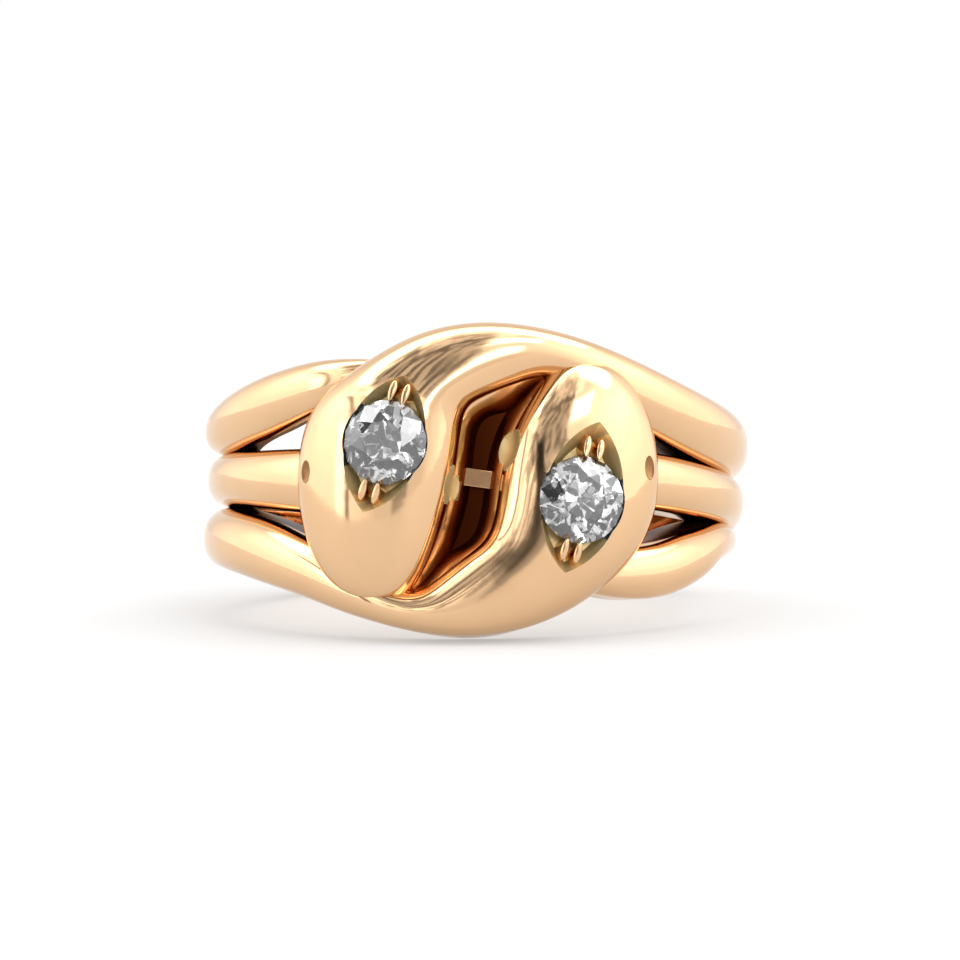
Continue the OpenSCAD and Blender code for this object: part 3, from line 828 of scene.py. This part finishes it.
class SNAKERING_OT_joining_bar(bpy.types.Operator):
    """Build the bar that joins the two heads across the gap"""
    bl_idname = "snakering.joining_bar"
    bl_label = "Joining Bar"

    def execute(self, context):
        # The bar gets some painted shade, for the shade it lies in across the gap
        half, out, turn, painted_shade = np.array([1.1, 0.25, 0.34]), 0.72, math.radians(8), 0.26
        corners = np.array([[x, y, z] for z in (-1, 1)
                            for x, y in ((-1, -1), (1, -1), (1, 1), (-1, 1))])
        place = Matrix.Translation((0, -FINGER_R - out, 0)) @ Matrix.Rotation(turn, 4, "Y")
        obj = make_piece("joining_bar", placed(corners * half, place), loft_faces(2, 4),
                         np.full(len(corners), painted_shade))
        bevel = obj.modifiers.new("worn edges", "BEVEL")
        bevel.width = 0.04 * MM
        bevel.segments = 3
        finish_gold(obj)
        return {"FINISHED"}


def grain_shape(root, end, sideways, stone_d):
    """A grain beside a stone: round loops stretched to a ridge that gets smaller as it rises.

    At the height 0.12 + 0.16 sin p a loop is 0.16 cos p wide and 0.40 cos p long each way, and
    its foot is at the depth root. The ridge is 0.26 mm to its side of the pocket's middle line,
    and its end at the stone stands upright and reaches 0.06 mm over the stone's edge.
    """
    p = np.radians(np.linspace(0, 85, 8))
    up = np.concatenate([[-root], 0.12 + 0.16 * np.sin(p)])
    wide = np.concatenate([[0.24], 0.16 * np.cos(p)])
    long = np.concatenate([[0.50], 0.40 * np.cos(p)])
    loops = [round_loop(1.0, z, 24) * np.array([w, l, 1.0]) + np.array([0.0, end * (l - 0.2), 0.0])
             for w, l, z in zip(wide, long, up)]
    points, faces = stacked_loops(loops)
    return points + np.array([sideways * 0.26, end * (stone_d / 2 + 0.14), 0.0]), faces


class SNAKERING_OT_grains(bpy.types.Operator):
    """Build the grains that hold the diamonds, two at each tip of a pocket"""
    bl_idname = "snakering.grains"
    bl_label = "Grains"

    def execute(self, context):
        sizes, stones = context.scene.snake_ring_sizes, context.scene.snake_ring_stones
        root = sizes.pocket_depth + 0.2
        for side, seat, stone_d in (("left", LEFT_SEAT, stones.left_d),
                                    ("right", RIGHT_SEAT, stones.right_d)):
            for tip, end in (("lower", -1), ("upper", 1)):
                for hand, sideways in (("left", -1), ("right", 1)):
                    points, faces = grain_shape(root, end, sideways, stone_d)
                    finish_gold(make_piece(f"{side}_grain_{tip}_{hand}",
                                           placed(points, seat_matrix(seat)), faces))
        return {"FINISHED"}


class SNAKERING_OT_diamonds(bpy.types.Operator):
    """Give the two diamonds their clear finish"""
    bl_idname = "snakering.diamonds"
    bl_label = "Diamonds"

    def execute(self, context):
        material = diamond_material()
        for node in STONE_NODES:
            for slot in frame["nodes"][node].material_slots:
                slot.material = material
        return {"FINISHED"}


def camera_matrix():
    """Where the camera stands: before the ring, and a little below it in the ring's own place."""
    tilt = math.radians(LOOKS_UP)
    right = Vector((1, 0, 0))
    ahead = Vector((0, math.cos(tilt), math.sin(tilt)))
    up = Vector((0, -math.sin(tilt), math.cos(tilt)))
    across = (MIDDLE_X - PICTURE / 2) * AWAY / FOCAL
    down = (MIDDLE_Y - PICTURE / 2) * AWAY / FOCAL
    m = Matrix((right, up, -ahead)).transposed().to_4x4()
    m.translation = -(AWAY * ahead + across * right - down * up) * MM
    return rest_matrix() @ m


def studio_world(strength):
    """The soft white light all round, as a light tent in a room gives it.

    With x to the right, y to the back and z up, the light is 1 at the horizon and grows to the
    sides and upwards. There is a bright panel on top, a window of two lights at the front right
    and a narrow one at the left. The front is dimmer about and above the camera, and the camera's
    dark arm slants up to the left. Small cells make the front uneven, as a room is.
    """
    world = bpy.data.worlds.new("studio")
    world.use_nodes = True
    tree = world.node_tree
    coords = tree.nodes.new("ShaderNodeTexCoord").outputs["Generated"]
    way = add_node(tree, "ShaderNodeSeparateXYZ", {"Vector": coords})
    x, y, z = (way.outputs[k] for k in "XYZ")

    def between(value, low, high, soft):
        """1 where a value is from low to high, and 0 elsewhere, with a soft change."""
        return math_of(tree, "MULTIPLY", ranged(tree, value, low - soft, low + soft, 0, 1),
                       ranged(tree, value, high - soft, high + soft, 1, 0))

    def area(light, across, upwards, soft, side=x):
        """1 everywhere but in an area in front, where it is light."""
        inside = math_of(tree, "MULTIPLY", between(side, *across, soft),
                         between(z, *upwards, soft), ranged(tree, y, -0.06, 0.0, 1, 0))
        return ranged(tree, inside, 0.0, 1.0, 1.0, light)

    rise = math_of(tree, "MULTIPLY", ranged(tree, z, 0.08, 0.5, 0.0, 0.5),
                   ranged(tree, y, 0.1, 0.5, 1.0, 0.0))
    front = math_of(tree, "MULTIPLY", between(x, -0.7, 0.22, 0.06),
                    ranged(tree, z, 0.12, 0.2, 0.0, 1.0), ranged(tree, y, -0.2, 0.0, 1.0, 0.0))
    chance = cell_texture(tree, coords, 15.0)[0]
    cell = math_of(tree, "MULTIPLY", ranged(tree, chance, 0.25, 0.75, -0.6, 0.6), front)
    top = math_of(tree, "MULTIPLY", ranged(tree, z, 0.70, 0.76, 0.0, 1.0),
                  between(y, -0.20, 0.42, 0.03))
    slant = math_of(tree, "ADD", x, math_of(tree, "MULTIPLY", z, 0.8))
    above_camera = area(0.36, (-0.62, 0.19), (0.40, 1.1), 0.03)
    about_camera = area(0.42, (-0.16, 0.15), (-0.1, 0.24), 0.03)
    lower_window = area(3.6, (0.23, 0.47), (0.20, 0.40), 0.012)
    upper_window = area(3.2, (0.22, 0.55), (0.57, 0.77), 0.012)
    left_window = area(1.6, (-0.90, -0.83), (0.0, 0.35), 0.01)
    left_frame = area(0.12, (-0.81, -0.775), (-0.1, 0.6), 0.006)
    dark_arm = area(0.03, (-0.07, 0.11), (0.10, 0.56), 0.012, slant)
    light = math_of(
        tree, "MULTIPLY", ranged(tree, rise, 0.0, 1.0, 1.0, 2.0),
        ranged(tree, cell, -1.0, 1.0, 0.0, 2.0), ranged(tree, top, 0.0, 1.0, 1.0, 2.6),
        ranged(tree, x, -0.85, -0.45, 1.72, 1.0), ranged(tree, x, 0.45, 0.85, 1.0, 1.75),
        above_camera, about_camera, lower_window, upper_window, left_window, left_frame, dark_arm)
    set_inputs(tree, tree.nodes["Background"], {"Color": grey(tree, light), "Strength": strength})
    return world


class SNAKERING_OT_studio(bpy.types.Operator):
    """Build the pale floor, the light and the camera"""
    bl_idname = "snakering.studio"
    bl_label = "Studio"

    def execute(self, context):
        scene = context.scene
        settings = scene.snake_ring_studio
        half = 1.5 / MM
        corners = np.array([[-half, -half, 0], [half, -half, 0], [half, half, 0], [-half, half, 0]])
        floor = make_piece("floor", corners, [[0, 1, 2, 3]])
        material, tree, shader = new_material("pale floor")
        set_inputs(tree, shader, {
            "Base Color": (0.29, 0.29, 0.29, 1.0), "Roughness": 0.7,
            "Emission Color": (1.0, 1.0, 1.0, 1.0), "Emission Strength": 0.42})
        floor.data.materials.append(material)

        scene.world = studio_world(settings.surround)

        data = bpy.data.lights.new("top light", "AREA")
        data.shape, data.size, data.energy = "SQUARE", 0.8, settings.top_power
        light = bpy.data.objects.new("top light", data)
        light.location = (0.0, -0.15, 1.0)
        light.rotation_euler = (-Vector(light.location)).to_track_quat("-Z", "Y").to_euler()
        scene.collection.objects.link(light)

        data = bpy.data.cameras.new("camera")
        data.sensor_width, data.lens = SENSOR, FOCAL * SENSOR / PICTURE
        data.clip_start, data.clip_end = 0.01, 10.0
        camera = bpy.data.objects.new("camera", data)
        camera.matrix_world = camera_matrix()
        scene.collection.objects.link(camera)
        scene.camera = camera
        scene.view_settings.view_transform = "Standard"
        return {"FINISHED"}


class SNAKERING_PT_panel(bpy.types.Panel):
    """The ring's settings and steps"""
    bl_label = "Snake Ring"
    bl_idname = "SNAKERING_PT_panel"
    bl_space_type = "VIEW_3D"
    bl_region_type = "UI"
    bl_category = "Snake Ring"

    def draw(self, context):
        scene = context.scene
        for group in (scene.snake_ring_sizes, scene.snake_ring_stones,
                      scene.snake_ring_finish, scene.snake_ring_studio):
            box = self.layout.box()
            for name in group.bl_rna.properties.keys():
                if name not in ("rna_type", "name"):
                    box.prop(group, name)
        for step in STEPS:
            self.layout.operator(step.bl_idname)


STEPS = (SNAKERING_OT_snakes, SNAKERING_OT_tails, SNAKERING_OT_plate, SNAKERING_OT_joining_bar,
         SNAKERING_OT_grains, SNAKERING_OT_diamonds, SNAKERING_OT_studio)
GROUPS = {"snake_ring_sizes": RingSizes, "snake_ring_stones": RingStones,
          "snake_ring_finish": RingFinish, "snake_ring_studio": StudioSettings}
CLASSES = (*GROUPS.values(), *STEPS, SNAKERING_PT_panel)


def register():
    """Makes the settings, the steps and the panel known."""
    for cls in CLASSES:
        bpy.utils.register_class(cls)
    for name, group in GROUPS.items():
        setattr(bpy.types.Scene, name, PointerProperty(type=group))


def unregister():
    """Takes them back out."""
    for name in GROUPS:
        delattr(bpy.types.Scene, name)
    for cls in reversed(CLASSES):
        bpy.utils.unregister_class(cls)


def main():
    """Builds the scene."""
    register()
    bpy.ops.snakering.snakes()
    bpy.ops.snakering.tails()
    bpy.ops.snakering.plate()
    bpy.ops.snakering.joining_bar()
    bpy.ops.snakering.grains()
    bpy.ops.snakering.diamonds()
    bpy.ops.snakering.studio()


if __name__ == "__main__":
    main()
